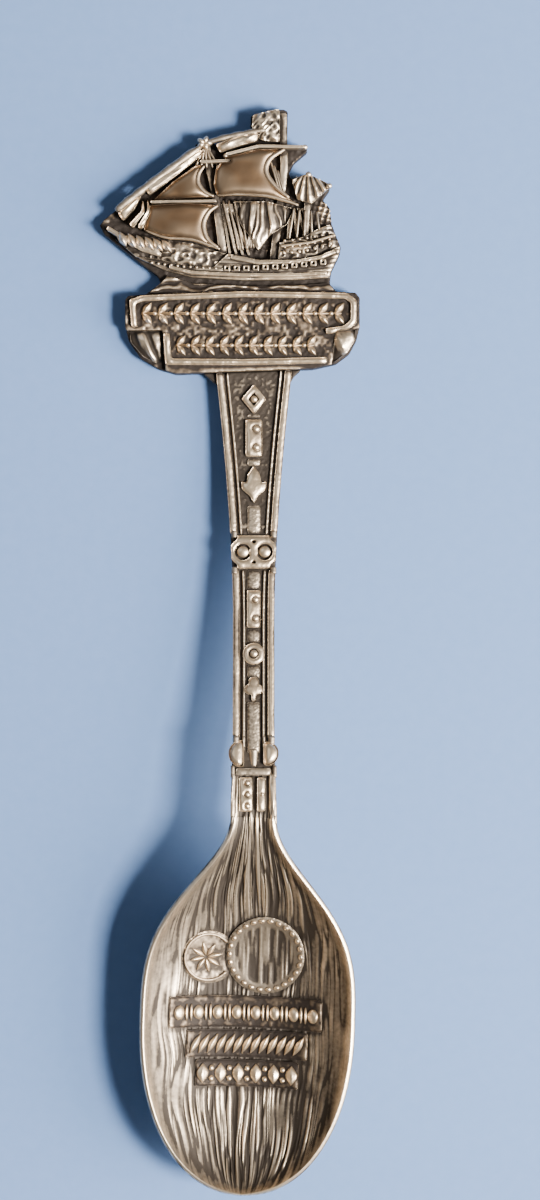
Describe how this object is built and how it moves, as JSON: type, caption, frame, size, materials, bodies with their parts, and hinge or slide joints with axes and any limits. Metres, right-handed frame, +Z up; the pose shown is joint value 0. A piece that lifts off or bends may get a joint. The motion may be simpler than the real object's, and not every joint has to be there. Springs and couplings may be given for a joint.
{
  "type": "souvenir spoon",
  "caption": "Cast pewter souvenir spoon with an oval streaked bowl, an arched ornamented stem and a flat finial of a galleon over a folded ribbon.",
  "frame": {"origin": "centre of the bounding box on the table the spoon lies on", "axes": "+Y along the spoon towards the ship's flag, +Z up out of the bowl, +X to the stern side of the ship"},
  "size_m": [0.0254, 0.105, 0.0087],
  "materials": {
    "pewter": "antiqued cast pewter, satin",
    "pewter_bright": "pewter rubbed bright on its high spots",
    "pewter_dark": "pewter left dark in its recesses",
    "pewter_sail": "smooth toned pewter with a soft shine"
  },
  "bodies": {
    "root": {"bowl": "pewter", "emblem_disc_large": "pewter", "emblem_disc_small": "pewter_bright", "emblem_ring": "pewter_bright", "emblem_star": "pewter_bright", "emblem_row_upper": "pewter", "emblem_row_middle": "pewter", "emblem_row_lower": "pewter", "stem_core": "pewter_dark", "rail_left": "pewter_bright", "rail_right": "pewter_bright", "fillet_left": "pewter", "fillet_right": "pewter", "centre_rib": "pewter", "neck_rim_left": "pewter_bright", "neck_rim_right": "pewter_bright", "collar_ledge": "pewter", "lug_left": "pewter_bright", "lug_right": "pewter_bright", "collar_tablets": "pewter_bright", "stem_diamond": "pewter_bright", "stem_tablet_upper": "pewter_bright", "stem_bud": "pewter_bright", "stem_knot": "pewter_bright", "stem_tablet_lower": "pewter_bright", "stem_ring": "pewter_bright", "stem_trefoil": "pewter_bright", "finial_plate": "pewter_dark", "shoulders": "pewter", "ribbon_body": "pewter_dark", "ribbon_border": "pewter_bright", "ribbon_fold_left": "pewter", "ribbon_fold_right": "pewter_bright", "ribbon_garland_upper": "pewter_bright", "ribbon_garland_lower": "pewter_bright", "sea": "pewter_dark", "hull": "pewter", "wales": "pewter_bright", "gun_ports": "pewter_bright", "forecastle": "pewter", "stern_castle": "pewter", "stern_gallery": "pewter_bright", "head_rails": "pewter_bright", "fore_mast": "pewter", "main_mast": "pewter", "mizzen_mast": "pewter", "fore_course": "pewter_sail", "fore_topsail": "pewter_sail", "main_topsail": "pewter_sail", "main_course": "pewter_sail", "mizzen_sail": "pewter_sail", "spritsail": "pewter_sail", "jib_drapes": "pewter_bright", "fore_pennant": "pewter_bright", "main_pennant": "pewter_bright", "masthead_flag": "pewter", "shrouds": "pewter", "yards": "pewter_bright"}
  },
  "joints": []
}
